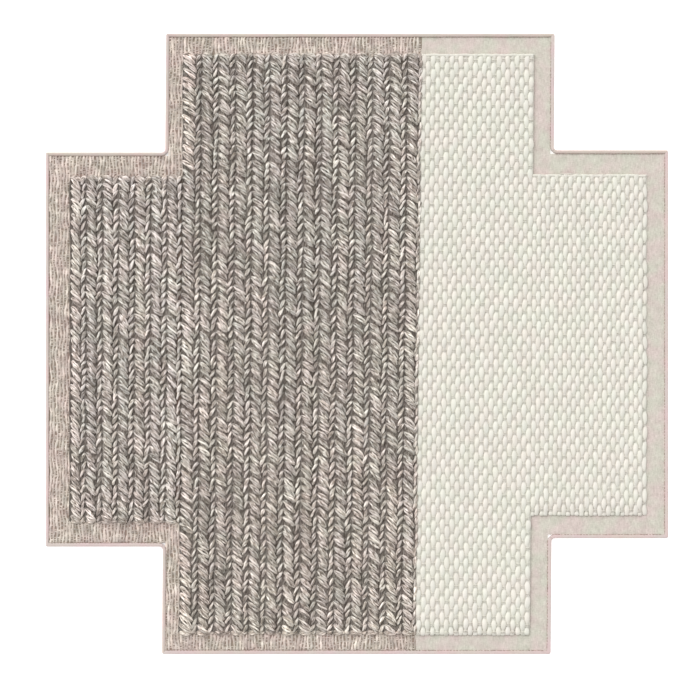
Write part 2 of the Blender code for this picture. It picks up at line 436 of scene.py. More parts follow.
def patchy(tree, colour, reach):
    """Make the colour a little warmer or greener in soft patches."""
    warm = (1 + reach, 1 - reach, 1 - 0.4 * reach)
    green = (1 - reach, 1 + 0.6 * reach, 1 - reach)
    spots = noise(tree, own_place(tree), 21.0, 1.5)
    return multiplied(tree, colour, colour_ramp(tree, spots, ((0.36, warm), (0.64, green))))


def blotched(tree, colour, reach):
    """Make the colour a little lighter or darker in smaller blotches."""
    spots = noise(tree, own_place(tree), 62.0, rough=0.6)
    stops = (0.3, (1 - reach,) * 3), (0.7, (1 + reach,) * 3)
    return multiplied(tree, colour, colour_ramp(tree, spots, stops))


def finish_shader(tree, shader, colour, height, strength, distance):
    """Join the colour and a fine relief to the shader."""
    tree.links.new(colour, shader.inputs["Base Color"])
    normal = add_node(tree, "ShaderNodeBump",
                      {"Height": height, "Strength": strength, "Distance": distance})
    tree.links.new(normal.outputs["Normal"], shader.inputs["Normal"])


def yarn_material(name, stops, plies, ply_share, drift_share, fibre_share, bump, sheen=0.15,
                  patches=0.03, blotches=0.0):
    """Spun yarn: each ply's own tone drifts along it, under fine fibres."""
    material, tree, shader = new_material(name, 0.92, sheen)
    uv = add_node(tree, "ShaderNodeUVMap", {}, uv_map="yarn").outputs["UV"]
    split = add_node(tree, "ShaderNodeSeparateXYZ", {"Vector": uv})
    round_, along = split.outputs["X"], split.outputs["Y"]
    tint = add_node(tree, "ShaderNodeAttribute", {}, attribute_name="yarn_tint")
    own = maths(tree, "MULTIPLY", tint.outputs["Alpha"], 391.0)
    ply = maths(tree, "FLOORED_MODULO", maths(tree, "FLOOR", round_), float(plies))
    white = add_node(tree, "ShaderNodeTexWhiteNoise", {"Vector": vector(tree, ply, own)},
                     noise_dimensions="2D").outputs["Value"]
    far = maths(tree, "ADD", maths(tree, "MULTIPLY", ply, 7.3), own)
    drift = noise(tree, vector(tree, far, maths(tree, "MULTIPLY", along, 60.0)), 1.0, 1.0)
    fibres = noise(tree, stretched(tree, round_, 9.0, along, 260.0, own), rough=0.6)
    tone = maths(tree, "MULTIPLY_ADD", white, ply_share, 0.5 - ply_share / 2)
    tone = swayed(tree, tone, drift, drift_share)
    tone = swayed(tree, tone, fibres, fibre_share)
    colour = multiplied(tree, colour_ramp(tree, tone, stops), tint.outputs["Color"])
    colour = patchy(tree, colour, patches)
    if blotches:
        colour = blotched(tree, colour, blotches)
    finish_shader(tree, shader, colour, fibres, 0.8, bump)
    return material


def cloth_material(name, stops, weave, patch, bump, slub_share=0.0):
    """Flat woven cloth: fine weave, slubs and soft patches."""
    material, tree, shader = new_material(name, 0.95)
    place = own_place(tree)
    split = add_node(tree, "ShaderNodeSeparateXYZ", {"Vector": place})
    x, y = split.outputs["X"], split.outputs["Y"]
    slow = weave * 0.18           # along a thread
    long_threads = noise(tree, stretched(tree, x, weave, y, slow), rough=0.6)
    cross_threads = noise(tree, stretched(tree, x, slow, y, weave, 5.0), rough=0.6)
    patches = noise(tree, place, patch)
    threads = maths(tree, "ADD", long_threads, cross_threads)
    slubs = noise(tree, stretched(tree, x, 210.0, y, 50.0, 9.0), rough=0.6)
    tone = maths(tree, "MULTIPLY_ADD", threads, 0.5, maths(tree, "MULTIPLY", patches, 0.3))
    tone = swayed(tree, tone, slubs, slub_share)
    colour = patchy(tree, colour_ramp(tree, tone, stops), 0.035)
    finish_shader(tree, shader, colour, threads, 0.7, bump)
    return material


BRAID_WOOL = yarn_material(
    "marled_grey_wool",
    ((0.0, (0.215, 0.178, 0.148)), (0.3, (0.40, 0.352, 0.312)), (0.5, (0.555, 0.500, 0.458)),
     (0.75, (0.70, 0.650, 0.607)), (1.0, (0.80, 0.755, 0.715))),
    PLIES, 0.85, 0.7, 0.45, 0.0006, patches=0.016)
CREAM_WOOL = yarn_material(
    "cream_felted_wool",
    ((0.0, (0.655, 0.63, 0.560)), (0.5, (0.735, 0.713, 0.643)), (1.0, (0.80, 0.782, 0.716))),
    3, 0.2, 0.3, 0.5, 0.0004, patches=0.012)
RIB_YARN = yarn_material(
    "beige_rib_yarn",
    ((0.0, (0.40, 0.32, 0.27)), (0.5, (0.58, 0.50, 0.445)), (1.0, (0.76, 0.69, 0.635))),
    2, 0.4, 0.7, 0.7, 0.0005, patches=0.02, blotches=0.22)
RIB_GROUND = cloth_material(
    "brown_ground_cloth",
    ((0.35, (0.18, 0.135, 0.108)), (0.8, (0.35, 0.28, 0.235))), 420.0, 30.0, 0.0005)
SMOOTH_GROUND = cloth_material(
    "beige_ground_cloth",
    ((0.35, (0.42, 0.380, 0.338)), (0.95, (0.76, 0.705, 0.645))), 560.0, 45.0, 0.0005,
    slub_share=0.35)
TAPE_CLOTH = yarn_material(
    "pink_beige_tape",
    ((0.0, (0.47, 0.37, 0.34)), (0.5, (0.60, 0.50, 0.47)), (1.0, (0.72, 0.63, 0.60))),
    8, 0.15, 0.4, 0.5, 0.0003)
STITCH_THREAD = yarn_material(
    "brown_stitch_thread",
    ((0.0, (0.26, 0.185, 0.15)), (0.5, (0.37, 0.27, 0.235)), (1.0, (0.50, 0.39, 0.345))),
    2, 0.3, 0.3, 0.4, 0.0002)


# Braids.

def patchy_tint(random, places, warm_reach, light_reach):
    """A colour for each place: patches a little warmer or cooler, lighter or darker."""
    warm = smooth_noise(random, places, 0.12) + 0.5 * smooth_noise(random, places, 0.03)
    warm += 2.0 * smooth_noise(random, places, 0.35) - 2.4 * places / HALF_SIDE
    light = smooth_noise(random, places, 0.15) + 0.6 * smooth_noise(random, places, 0.04)
    light += 0.4 * smooth_noise(random, places, 0.45)
    light = 1 + light_reach * light
    return np.stack([light * (1 + warm_reach * warm), light,
                     light * (1 - 0.8 * warm_reach * warm), random.uniform(0, 1, len(places))], 1)


def tucked_ends(path, low, high, lowest):
    """Hold the path between its ends in y, and curl down what would run past them."""
    past_high = np.logaddexp(0, (path[..., 1] - high) / END_SOFTNESS) * END_SOFTNESS
    past_low = np.logaddexp(0, (low - path[..., 1]) / END_SOFTNESS) * END_SOFTNESS
    path[..., 1] += past_low - past_high
    path[..., 2] = np.maximum(path[..., 2] - 0.6 * (past_high + past_low), lowest)
    return path


def add_bundle(yarns, random, path, lens, form, tint):
    """A leg's yarns, loosely twisted round one another."""
    count, rings = lens.shape
    _, across, up = frame_of(path)
    share = np.linspace(0, 1, rings)[None]
    start = random.uniform(0, TURN, (count, 1))
    for strand in range(form["strands"]):
        turn = start + TURN * (strand / form["strands"] + form["turns"] * share)
        turn = turn + random.uniform(-0.5, 0.5, (count, 1))
        sideways = form["across"] * np.cos(turn) * lens * random.uniform(0.85, 1.2, (count, 1))
        upwards = form["up"] * np.sin(turn) * lens
        own = path + sideways[..., None] * across + upwards[..., None] * up
        size = form["yarn"] * (0.40 + 0.60 * lens) * random.uniform(0.78, 1.20, (count, 1))
        tone = 1 + 0.17 * np.clip(random.normal(0, 1, (count, 1)), -1.8, 2.0)
        tone = tone * (1 + 0.10 * np.sin(random.uniform(0, 6, (count, 1)) + 5.0 * share))
        own_tint = tint * tone[..., None]
        own_tint[..., 3] = random.uniform(0, 1, (count, 1))
        yarns.add(own, size * 1.05, size, own_tint, plies=PLIES, groove=0.12, twist=270.0,
                  phase=random.uniform(0, TURN, count), floor=BRAID_FOOT,
                  ceiling=form["top"])


def add_legs(yarns, random, shifts, near, far, low, high, form, brightness=1.0, veil=None):
    """One side of a braid: legs from the near edge down to the far one, a step apart.

    near and far give x at a place along the braid, and shifts moves each row a little.
    brightness is a number or a colour, and veil gives how much border fibre lies on top.
    """
    rows = np.arange(-2, math.ceil((high - low + 0.012) / STITCH_STEP))
    count = len(rows)
    share = np.linspace(0, 1, LEG_RINGS)[None, :]
    start = high - 0.004 - rows * STITCH_STEP + shifts[:count]
    start = start + random.uniform(-0.0022, 0.0022, count)
    drop = form["drop"] * random.uniform(0.78, 1.22, count)[:, None]
    y = start[:, None] - drop * share ** 1.12
    sway = random.uniform(-0.0017, 0.0017, (count, 1))
    sway = sway + random.uniform(-0.0030, 0.0026, (count, 1)) * share
    edge = near(y) + (far(y) - near(y)) * share ** 0.90 + sway
    arch = np.sin(math.pi * (0.06 + 0.84 * share))
    lift = random.uniform(-0.0024, 0.0006, count)[:, None]
    z = form["low"] + (form["rise"] + lift) * arch
    crown = high - 0.006 - random.uniform(0, 0.003) - 0.009 * share ** 2
    path = tucked_ends(np.stack([edge, y, z], 2), low + 0.007 + random.uniform(0, 0.002), crown,
                       BRAID_FOOT + 0.0015)
    lens = np.sin(math.pi * (0.07 + 0.86 * share)) ** 0.6 * np.ones((count, 1))
    tint = np.repeat(patchy_tint(random, start, 0.006, 0.09)[:, None], LEG_RINGS, axis=1)
    # Painted shade: legs darken towards their near ends, in the pits between rows.
    out_of_painted_shade = np.clip(share / PAINTED_SHADE_SHARE, 0, 1)
    tint[..., :3] *= brightness * (RECESS_PAINTED_SHADE + (1 - RECESS_PAINTED_SHADE) * out_of_painted_shade)[..., None]
    near_end = np.clip(1 - np.minimum(high - path[..., 1], path[..., 1] - low) / 0.014, 0, 1)
    blend = 0.5 * near_end[..., None]
    tint[..., :3] = tint[..., :3] * (1 - blend) + np.array(VEIL) * blend
    if veil is not None:
        cover = veil(path[..., 1])[..., None]
        tint[..., :3] = tint[..., :3] * (1 - cover) + np.array(BORDER_VEIL) * cover
    add_bundle(yarns, random, path, lens, form, tint)


def add_core(yarns, random, left, right, low, high):
    """The inside of a braid, tinted dark as painted shade for the pits: a flat bed under
    lengthwise yarns.
    """
    y = np.arange(low + 0.008, high - 0.007, 0.02)
    middle = (left(y) + right(y)) / 2
    width = (right(y) - left(y)) / 2 - 0.0012
    path = np.stack([middle, y, np.full_like(y, BRAID_FOOT + 0.0005)], 1)[None]
    # The core's dark tint is painted shade, for the pits between the legs.
    yarns.add(path, width, CORE_HALF_HEIGHT, tint=(0.36, 0.342, 0.327, 0.5), chunk=6,
              floor=BRAID_FOOT)
    add_fillers(yarns, random, left, right, low, high)


def add_fillers(yarns, random, left, right, low, high):
    """Lumpy yarns inside a braid, darkened as painted shade, less so under its wide legs."""
    y = np.arange(low + 0.010, high - 0.009, FILLER_STEP)
    count = round(float(np.mean(right(y) - left(y))) / FILLER_PITCH)
    for number in range(count):
        share = (number + 0.5) / count
        x = left(y) + (right(y) - left(y)) * share
        lumps = smooth_noise(random, y, 0.011)
        x = x + 0.0012 * smooth_noise(random, y, 0.025)
        path = np.stack([x, y, FILLER_LEVEL + 0.0005 * lumps], 1)
        size = FILLER_RADIUS + 0.0005 * lumps
        # Painted shade: the fillers are darkened, least under the wide legs.
        filler_painted_shade = 0.36 + 0.22 * math.exp(-((share - 0.68) / 0.18) ** 2)
        tint = (*FILLER_TINT * filler_painted_shade, random.uniform())
        yarns.add(path[None], size, size, tint, angles=FILLER_SECTION, plies=PLIES, twist=330.0,
                  chunk=24, floor=BRAID_FOOT)


def braid_edge(braid, which):
    """x of one edge as a function of y; neighbours share their edge's wander."""
    base = getattr(braid, which)
    line = braid.number + {"left": 0, "middle": 100, "right": 1}[which]
    stray = 0.0 if line in (0, 22) else STRAY
    return lambda y: base + stray + wander(line, y, EDGE_WANDER, 0.30)


def braid_plan():
    """Every braid's edges, read from the CAD nodes."""
    spans = {number: upright(f"braid_{number:02d}") for number in range(22)}
    plan = {}
    for number, (left, right, low, high) in spans.items():
        if number == 0:
            middle = left
        elif number == 21:
            middle = right
        elif number == 7:
            left, right = spans[6][1], spans[8][0]
            middle = left + LAST_NARROW
        else:
            middle = left + (NARROW_SHOULDER if number < 7 else NARROW_ARM)
        plan[number] = SimpleNamespace(number=number, left=left, middle=middle, right=right,
                                       low=low, high=high)
    return plan


def offset(edge, distance):
    """The same edge, moved sideways."""
    return lambda y: edge(y) + distance


def border_veil(number, shoulder):
    """How much border fibre lies over the braids with plain ground on their left."""
    if number == 0:
        return lambda y: np.full_like(y, 0.3)
    if number == 7:
        low, high = shoulder[0] - 0.01, shoulder[1] + 0.01
        return lambda y: np.where((y > low) & (y < high), 0.0, 0.5)
    return None


def make_braid(braid, shoulder):
    """A braid as its two rows of legs over a dark core."""
    random = default_rng(100 + braid.number)
    yarns = Yarns()
    left, middle, right = (braid_edge(braid, which) for which in ("left", "middle", "right"))
    brightness = np.interp(braid.number, TONE_BRAIDS, TONES)
    if braid.number >= WARMER_FROM:
        brightness = brightness * WARMER
    veil = border_veil(braid.number, shoulder)
    shifts = random.uniform(-0.0026, 0.0026, 100)
    if braid.number < 21:
        start = offset(middle, 0.0018 if braid.number else 0.0040)
        add_legs(yarns, random, shifts, start, offset(right, -0.0010), braid.low, braid.high,
                 WIDE, brightness, veil)
    if braid.number > 0:
        low, high = shoulder if braid.number == 7 else (braid.low, braid.high)
        start = offset(middle, -0.0014 if braid.number < 21 else -0.0030)
        add_legs(yarns, random, shifts, start, offset(left, 0.0024), low, high,
                 NARROW, brightness)
    core_left = middle if braid.number == 7 else left
    add_core(yarns, random, core_left, right, braid.low, braid.high)
    name = f"braid_{braid.number:02d}"
    settle(yarns.build("wool_" + name, BRAID_WOOL), "grey_braid", name)


def make_braids():
    """All the braids, from left to right."""
    plan = braid_plan()
    shoulder = plan[1].low, plan[1].high
    for braid in plan.values():
        make_braid(braid, shoulder)


# Cream cords and their cross threads.

def row_shift(x, y):
    """How far the rows of cream stitches wave up or down at a place."""
    return 0.0022 * np.sin(x * 19.0 + y * 6.0) + 0.0015 * np.sin(x * 53.0 - y * 11.0 + 1.3)


def cord_phase(x, y, number):
    """Repeats along a cord; it is full at whole numbers."""
    return (y - ROW_START - row_shift(x, y)) / CORD_REPEAT + 0.5 * (number % 2)


def nearness(y, low, run):
    """One at the low end, falling to nothing over a run."""
    return np.clip(1 - (y - low) / run, 0, 1)


def add_cord(yarns, random, x, pitch, low, high, number):
    """One cord along y: full where it rides over a cross thread, thin where it dips under."""
    step = CORD_REPEAT / CORD_RINGS
    y = np.linspace(low, high, int((high - low) / step) + 1)
    middle = x + wander(300 + number, y, 0.0014, 0.2)
    phase = cord_phase(x, y, number) + 0.030 * smooth_noise(random, y, 0.05)
    stitch = np.floor(phase + 0.5).astype(int)
    signed = phase - stitch
    away = np.abs(signed)
    stitch -= stitch.min()

    def each(least, most):
        """One random value for each stitch."""
        return random.uniform(least, most, stitch.max() + 1)[stitch]

    size = each(0.89, 1.09)
    sway = each(-0.0011, 0.0011)
    tilt = each(-0.0050, 0.0050) * signed
    reach = 0.44 if number == LAST_CORD else CORD_REACH
    lens = np.sqrt(np.clip(1 - (away / (reach * size)) ** 2, 0, 1))
    lens = np.maximum(lens, np.sqrt(nearness(y, low, 0.014)))
    at_end = nearness(y, low, 0.007)
    width = CORD_WAIST + (CORD_SWELL * pitch - CORD_WAIST) * lens ** 1.5 * size
    width = width * (1 - 0.34 * at_end ** 3)
    height = (0.0026 + 0.0012 * lens ** 2) * (1 - 0.5 * at_end ** 2)
    sunk = (0.0032 if number == LAST_CORD else 0.0) + 0.0028 * nearness(y, low, 0.030)
    top = CORD_TOP + CORD_RISE * lens ** 2 - 0.0035 * at_end ** 2 - sunk
    path = np.stack([middle + (sway + tilt) * lens, y, top - height], 1)[None]
    light = each(0.97, 1.03)
    warm = 0.008 * each(-1, 1)
    tint = np.stack([light * (1 + warm), light, light * (1 - warm), each(0, 1)], 1)
    # Painted shade: each cord darkens where it dips between its full stretches.
    tint[:, :3] *= (0.86 + 0.14 * np.clip(lens * 1.6, 0, 1))[:, None]
    yarns.add(path, width, height, tint, angles=CORD_SECTION, plies=3, groove=0.09,
              twist=30.0, phase=random.uniform(0, 6, 1), chunk=CORD_RINGS * 2, floor=CORD_FOOT)
    add_bed(yarns, x, pitch, low + 0.003, high, number == LAST_CORD)


def add_bed(yarns, x, pitch, low, high, last):
    """The felted wool beneath one cord, which closes the gaps beside it."""
    y = np.linspace(low + 0.001, high - 0.002, 64)
    level = BED_LEVEL - 0.0040 * nearness(y, low, 0.032) - (0.0036 if last else 0.0)
    path = np.stack([np.full_like(y, x), y, level], 1)[None]
    half = (0.50 if last else 0.62) * pitch
    # The bed's greyer tint is painted shade in the gaps between the cords.
    yarns.add(path, half, BED_HEIGHT, tint=(0.90, 0.895, 0.885, 0.6), angles=CORD_SECTION,
              plies=3, chunk=8, floor=CORD_FOOT)


def make_cord_group(node, count, first):
    """The neighbouring cords of one CAD node; gives each one's x and number."""
    left, right, low, high = upright(node)
    random = default_rng(500 + first)
    yarns = Yarns()
    pitch = (right - left) / count
    for index in range(count):
        start = low + random.uniform(0.0, 0.0022)
        add_cord(yarns, random, left + (index + 0.5) * pitch, pitch, start, high - 0.007,
                 first + index)
    settle(yarns.build("cream_" + node, CREAM_WOOL), "cream_cord", node)
    return [(left + (index + 0.5) * pitch, first + index) for index in range(count)]


def make_cross_threads(name, cords, pitch, low, high):
    """Threads across a field, over each cord that dips."""
    random = default_rng(len(cords))
    yarns = Yarns()
    centres = np.array([x for x, _ in cords])
    numbers = np.array([number for _, number in cords])
    first = math.ceil((low - ROW_START) / CORD_REPEAT * 2)
    last = math.floor((high - ROW_START) / CORD_REPEAT * 2)
    steps = 4
    outermost = numbers[-1] == LAST_CORD
    beyond = (0.15 if outermost else 0.4) * pitch
    x = np.linspace(centres[0] - 0.4 * pitch, centres[-1] + beyond, len(cords) * steps + 1)
    for thread in range(2 * first, 2 * last + 2):
        row = thread // 2
        apart = THREAD_APART * (thread % 2 - 0.5)
        level = ROW_START + row * CORD_REPEAT / 2 + apart
        y = level + np.zeros_like(x)
        for _ in range(2):
            y = level + row_shift(x, y)
        place = (x - centres[0]) / pitch
        over = np.cos(math.pi * place) * (1 if (numbers[0] + row) % 2 else -1)
        z = THREAD_LEVEL + THREAD_WAVE * over
        if outermost:
            z = z - 0.0029 * np.clip((x - centres[-2]) / pitch, 0, 1)
        inside = (y > low + 0.004) & (y < high - 0.004)
        if not inside.all():
            continue
        path = np.stack([x, y + random.uniform(-0.0004, 0.0004), z], 1)[None]
        yarns.add(path, THREAD_RADIUS, THREAD_RADIUS,
                  tint=(0.92, 0.915, 0.905, random.uniform()),
                  angles=FILLER_SECTION, plies=3, groove=0.05, chunk=24)
    settle(yarns.build(name, CREAM_WOOL), "cream_cord")


def make_roll(name, left, right, y, seed):
    """The smooth, slightly lumpy band along the upper end of a cream field."""
    random = default_rng(seed)
    x = np.arange(left, right, 0.004)
    bumps = smooth_noise(random, x, 0.012)
    path = np.stack([x, y + 0.0010 * bumps, ROLL_LEVEL + 0.0006 * bumps], 1)[None]
    size = ROLL_RADIUS + 0.0006 * smooth_noise(random, x, 0.016)
    yarns = Yarns()
    yarns.add(path, size, size, tint=(0.94, 0.94, 0.93, 0.3), angles=CORD_SECTION,
              plies=3, groove=0.04, twist=60.0, chunk=16, floor=CORD_FOOT)
    settle(yarns.build(name, CREAM_WOOL), "cream_cord")


def make_cream_field():
    """Cords, cross threads and rolled edges of the arms and of the right shoulder."""
    arms, shoulders = [], []
    for group in range(8):
        arms += make_cord_group(f"arm_cords_{group + 1:02d}", 3, group * 3)
    for group in range(13):
        shoulders += make_cord_group(f"shoulder_cords_{group + 1:02d}", 2, 24 + group * 2)
    _, _, arm_low, arm_high = upright("arm_cords_01")
    _, _, low, high = upright("shoulder_cords_01")
    arm_pitch = arms[1][0] - arms[0][0]
    pitch = shoulders[1][0] - shoulders[0][0]
    make_cross_threads("cross_threads_arms", arms, arm_pitch, arm_low, arm_high)
    make_cross_threads("cross_threads_shoulder", shoulders, pitch, low, high)
    make_roll("cream_roll_arm", arms[0][0] - arm_pitch / 2, arms[-1][0] + arm_pitch / 2,
              arm_high - ROLL_INSET, 41)
    make_roll("cream_roll_shoulder", shoulders[0][0] - pitch / 2, shoulders[-1][0] + pitch / 2,
              high - ROLL_INSET, 42)


# Ground panels.

def outline():
    """The twelve corners of the bound edge, counter-clockwise from the lower arm's left."""
    side = {name: upright("binding_" + name) for name in TAPE_NAMES}
    bottom, top = side["lower_arm_end"][2], side["upper_arm_end"][3]
    left, right = side["lower_arm_left"][0], side["lower_arm_right"][1]
    right_low, right_high = side["right_notch_lower"][2], side["right_notch_upper"][3]
    left_low, left_high = side["left_notch_lower"][2], side["left_notch_upper"][3]
    return [
        (left, bottom), (right, bottom), (right, right_low), (HALF_SIDE, right_low),
        (HALF_SIDE, right_high), (right, right_high), (right, top), (left, top),
        (left, left_high), (-HALF_SIDE, left_high), (-HALF_SIDE, left_low), (left, left_low),
    ]


def inset(corners, distance):
    """The corners, moved inwards from both of their sides."""
    side = np.array(corners) - np.roll(corners, 1, axis=0)
    normal = np.stack([-side[:, 1], side[:, 0]], 1) / np.linalg.norm(side, axis=1)[:, None]
    return corners + (normal + np.roll(normal, -1, axis=0)) * distance


SLAB_STEP = 0.02


def slab_cells(columns):
    """Small rectangles that fill strips of (left, right, low, high), by grid place."""
    xs, levels = set(), set()
    for left, right, low, high in columns:
        steps = max(2, int((right - left) / SLAB_STEP) + 1)
        xs |= {round(x, 5) for x in np.linspace(left, right, steps)}
        levels |= {round(low, 5), round(high, 5)}
    xs, levels = sorted(xs), sorted(levels)
    rows = []
    for low, high in zip(levels, levels[1:]):
        rows += list(np.linspace(low, high, max(2, int((high - low) / SLAB_STEP) + 1))[:-1])
    rows = [round(y, 5) for y in rows] + [levels[-1]]
    cells = {}
    for i, (x0, x1) in enumerate(zip(xs, xs[1:])):
        for j, (y0, y1) in enumerate(zip(rows, rows[1:])):
            x, y = (x0 + x1) / 2, (y0 + y1) / 2
            if any(a < x < b and c < y < d for a, b, c, d in columns):
                cells[i, j] = (x0, x1, y0, y1)
    return cells


def slab(name, columns, top, material, relief):
    """A closed, shallowly uneven panel made of strips."""
    points, index, faces = [], {}, []

    def vertex(x, y, level):
        """The number of a point on the underside, 0, or the top, 1."""
        key = (round(x, 5), round(y, 5), level)
        if key not in index:
            index[key] = len(points)
            rise = relief * (math.sin(x * 71 + y * 13) + math.sin(y * 57 - x * 29))
            points.append((x, y, top + rise if level else 0.0))
        return index[key]

    cells = slab_cells(columns)
    for (i, j), (x0, x1, y0, y1) in cells.items():
        corners = [(x0, y0), (x1, y0), (x1, y1), (x0, y1)]
        faces.append([vertex(x, y, 1) for x, y in corners])
        faces.append([vertex(x, y, 0) for x, y in reversed(corners)])
        for side, beside in enumerate(((i, j - 1), (i + 1, j), (i, j + 1), (i - 1, j))):
            if beside not in cells:
                first, second = corners[side], corners[(side + 1) % 4]
                faces.append([vertex(*first, 0), vertex(*second, 0),
                              vertex(*second, 1), vertex(*first, 1)])
    mesh = bpy.data.meshes.new(name)
    mesh.from_pydata(leaned(np.array(points)).tolist(), [], faces)
    mesh.materials.append(material)
    mesh.update()
    mesh.shade_smooth()
    mesh.set_sharp_from_angle(angle=math.radians(40))
    return new_object(name, mesh)


def rib_shift(x, y):
    """Sideways wave of the ground's ribs, shared by neighbours."""
    return 0.0018 * np.sin(31 * x + 47 * y) + 0.0012 * np.sin(71 * y - 83 * x + 2.0)


def rib_spans(plan, inner, x):
    """The stretches of ground in y that show beside the braids at this x."""
    bottom, top = inner[0][1], inner[6][1]
    left_low, left_high = inner[10][1], inner[9][1]
    arm_left = inner[0][0]
    if x < plan[0].left + UNDER_FIELD:
        return [(left_low, left_high)]
    field = plan[1] if x < plan[7].middle + UNDER_FIELD else plan[8]
    low, high = field.low + UNDER_FIELD, field.high - UNDER_FIELD
    if x < arm_left:
        return [(left_low, low), (high, left_high)]
    return [(bottom, low), (high, top)]


def make_ribs(plan, inner):
    """Lengthwise ribs of the left ground, and the short bars between them."""
    random = default_rng(77)
    ribs, bars = Yarns(), []
    left, right = inner[9][0], upright("ground_panel_ribbed")[1]
    count = int((right - left) / RIB_PITCH)
    centres = left + 0.004 + np.arange(count) * RIB_PITCH
    for number, x in enumerate(centres):
        for low, high in rib_spans(plan, inner, x):
            rings = max(4, int((high - low) / 0.005))
            y = np.linspace(low, high, rings)
            middle = x + rib_shift(x, y) + wander(600 + number, y, 0.0016, 0.05)
            path = np.stack([middle, y, np.full(rings, RIB_LEVEL)], 1)[None]
            path[..., 2] += 0.0004 * smooth_noise(random, y, 0.02)
            width = 0.0032 + 0.0015 * smooth_noise(random, y, 0.013)
            shade, own = random.uniform(0.92, 1.08), random.uniform()
            shade = shade * (1 + 0.20 * smooth_noise(random, y, 0.020))
            tint = np.stack([shade, shade, shade, np.full(rings, own)], 1)
            ribs.add(path, width, 0.0018, tint, plies=2, groove=0.08, twist=120.0, chunk=12)
            places = np.arange(low + 0.003, high - 0.002, BAR_STEP)
            places = places + random.uniform(-0.0026, 0.0026, len(places))
            keep = random.uniform(0, 1, len(places)) < 0.85
            for place in places[keep]:
                bars.append((x + RIB_PITCH / 2 + rib_shift(x, place), place))
    add_bars(ribs, random, np.array(bars))
    return settle(ribs.build("ground_ribs", RIB_YARN), "ribbed_ground")


def add_bars(ribs, random, bars):
    """A short bar across the gap between two ribs at each of the given places."""
    share = np.linspace(-1, 1, 4)
    x = bars[:, :1] + share[None] * RIB_PITCH * 0.52
    y = bars[:, 1:] + share[None] * random.uniform(-0.001, 0.001, (len(bars), 1))
    z = np.full_like(x, 0.0051) - 0.0004 * share[None] ** 2
    size = np.repeat(random.uniform(0.0010, 0.0031, (len(bars), 1)), 4, axis=1)
    tint = np.ones((len(bars), 4, 4)) * random.uniform(0.70, 1.05, (len(bars), 1, 1))
    tint[..., 3] = random.uniform(0, 1, (len(bars), 1))
    ribs.add(np.stack([x, y, z], 2), size, 0.0011, tint, angles=FILLER_SECTION, plies=2)


def make_grounds():
    """Both ground panels and the ribs."""
    corners = outline()
    inner = inset(corners, TAPE_WIDTH + 0.0003)
    seam = upright("ground_panel_ribbed")[1]
    plan = braid_plan()
    bottom, top = inner[0][1], inner[6][1]
    ribbed = [(inner[9][0], inner[7][0], inner[10][1], inner[9][1]),
              (inner[7][0], seam, bottom, top)]
    right_seam = upright("ground_panel_smooth")[0]
    smooth = [(right_seam, inner[1][0], bottom, top),
              (inner[1][0], inner[3][0], inner[3][1], inner[4][1])]
    ribs = make_ribs(plan, inner)
    left_ground = slab("woven_ground_ribbed", ribbed, RIBBED_CLOTH_TOP, RIB_GROUND, 0.0001)
    settle(left_ground, "ribbed_ground", "ground_panel_ribbed")
    right_ground = slab("woven_ground_smooth", smooth, SMOOTH_TOP, SMOOTH_GROUND, 0.00012)
    settle(right_ground, "smooth_ground", "ground_panel_smooth")


# Binding tape.

TAPE_NAMES = (
    "lower_arm_end", "lower_arm_right", "right_notch_lower", "right_side",
    "right_notch_upper", "upper_arm_right", "upper_arm_end", "upper_arm_left",
    "left_notch_upper", "left_side", "left_notch_lower", "lower_arm_left",
)
TOP_TAPES = ("right_notch_upper", "upper_arm_end", "left_notch_upper")
PLAIN_TAPES = ("upper_arm_left", "lower_arm_left")
CORNER_ROUNDING = 0.006
LIP_REACH = 0.0010  # how far the tape's inner lip strays over the ground
LIP_LEVEL = 0.0055  # and the height above which it does
PUFF_LEVEL = 0.004  # the height above which the tape is puffed
PLY_TO_POINT = 0.8  # woven rows from one point of the profile to the next
STITCH_INSET = 0.0104  # of the brown stitches, from the outer edge
STITCH_SPACING = 0.0085


def tape_path(corners, index, inwards):
    """Points along one side, from one corner's middle to the next."""
    before, start, finish, after = np.roll(corners, 1 - index, axis=0)[:4]
    run = (finish - start) / np.linalg.norm(finish - start)
    normal = np.array([-run[1], run[0]])
    points = []
    for corner, other, sign in ((start, before, 1), (finish, after, -1)):
        turn = other - corner
        turn = turn / np.linalg.norm(turn)
        convex = np.dot(turn, normal) > 0
        radius = CORNER_ROUNDING + (0.0 if convex else 0.003)
        if convex:
            radius = max(radius, inwards + 0.0002)
        centre = corner + sign * run * radius + turn * radius
        side = -normal if convex else normal
        reach = radius - inwards if convex else radius + inwards
        arc = [centre + reach * (math.cos(angle) * side - sign * math.sin(angle) * run)
               for angle in np.radians(np.linspace(44.5, 0, 5))]
        points.append(arc[::sign])
    first, last = points[0][-1], points[1][0]
    steps = max(2, int(np.linalg.norm(finish - start) / 0.012))
    straight = [first + (last - first) * k / steps for k in range(1, steps)]
    return np.array(points[0] + straight + points[1])


TAPE_PROFILE = (
    # distance inwards and height, from the outer foot over to the inner foot
    (0.0006, 0.0), (0.0000, 0.0022), (0.0002, 0.0044), (0.0010, 0.0064), (0.0026, 0.0076),
    (0.0050, 0.0080), (0.0074, 0.0079), (0.0090, 0.0076), (0.0098, 0.0070), (0.0100, 0.0060),
    (0.0100, 0.0),
)


def tape_points(corners, index, random, along):
    """The profile along one side, with a little puff and a straying lip."""
    puff = 0.0003 * smooth_noise(random, along, 0.03)
    away = np.clip(np.minimum(along, along[-1] - along) / 0.03, 0, 1)
    lip = away * (0.5 + 0.5 * smooth_noise(random, along, 0.035))
    points = np.zeros((len(along), len(TAPE_PROFILE), 3))
    for k, (inwards, height) in enumerate(TAPE_PROFILE):
        rail = tape_path(corners, index, inwards)
        points[:, k, :2] = rail
        if height > LIP_LEVEL:
            wider = tape_path(corners, index, inwards + LIP_REACH)
            points[:, k, :2] += (wider - rail) * (lip * inwards / TAPE_WIDTH)[:, None]
        points[:, k, 2] = height + puff * (height > PUFF_LEVEL)
    return points


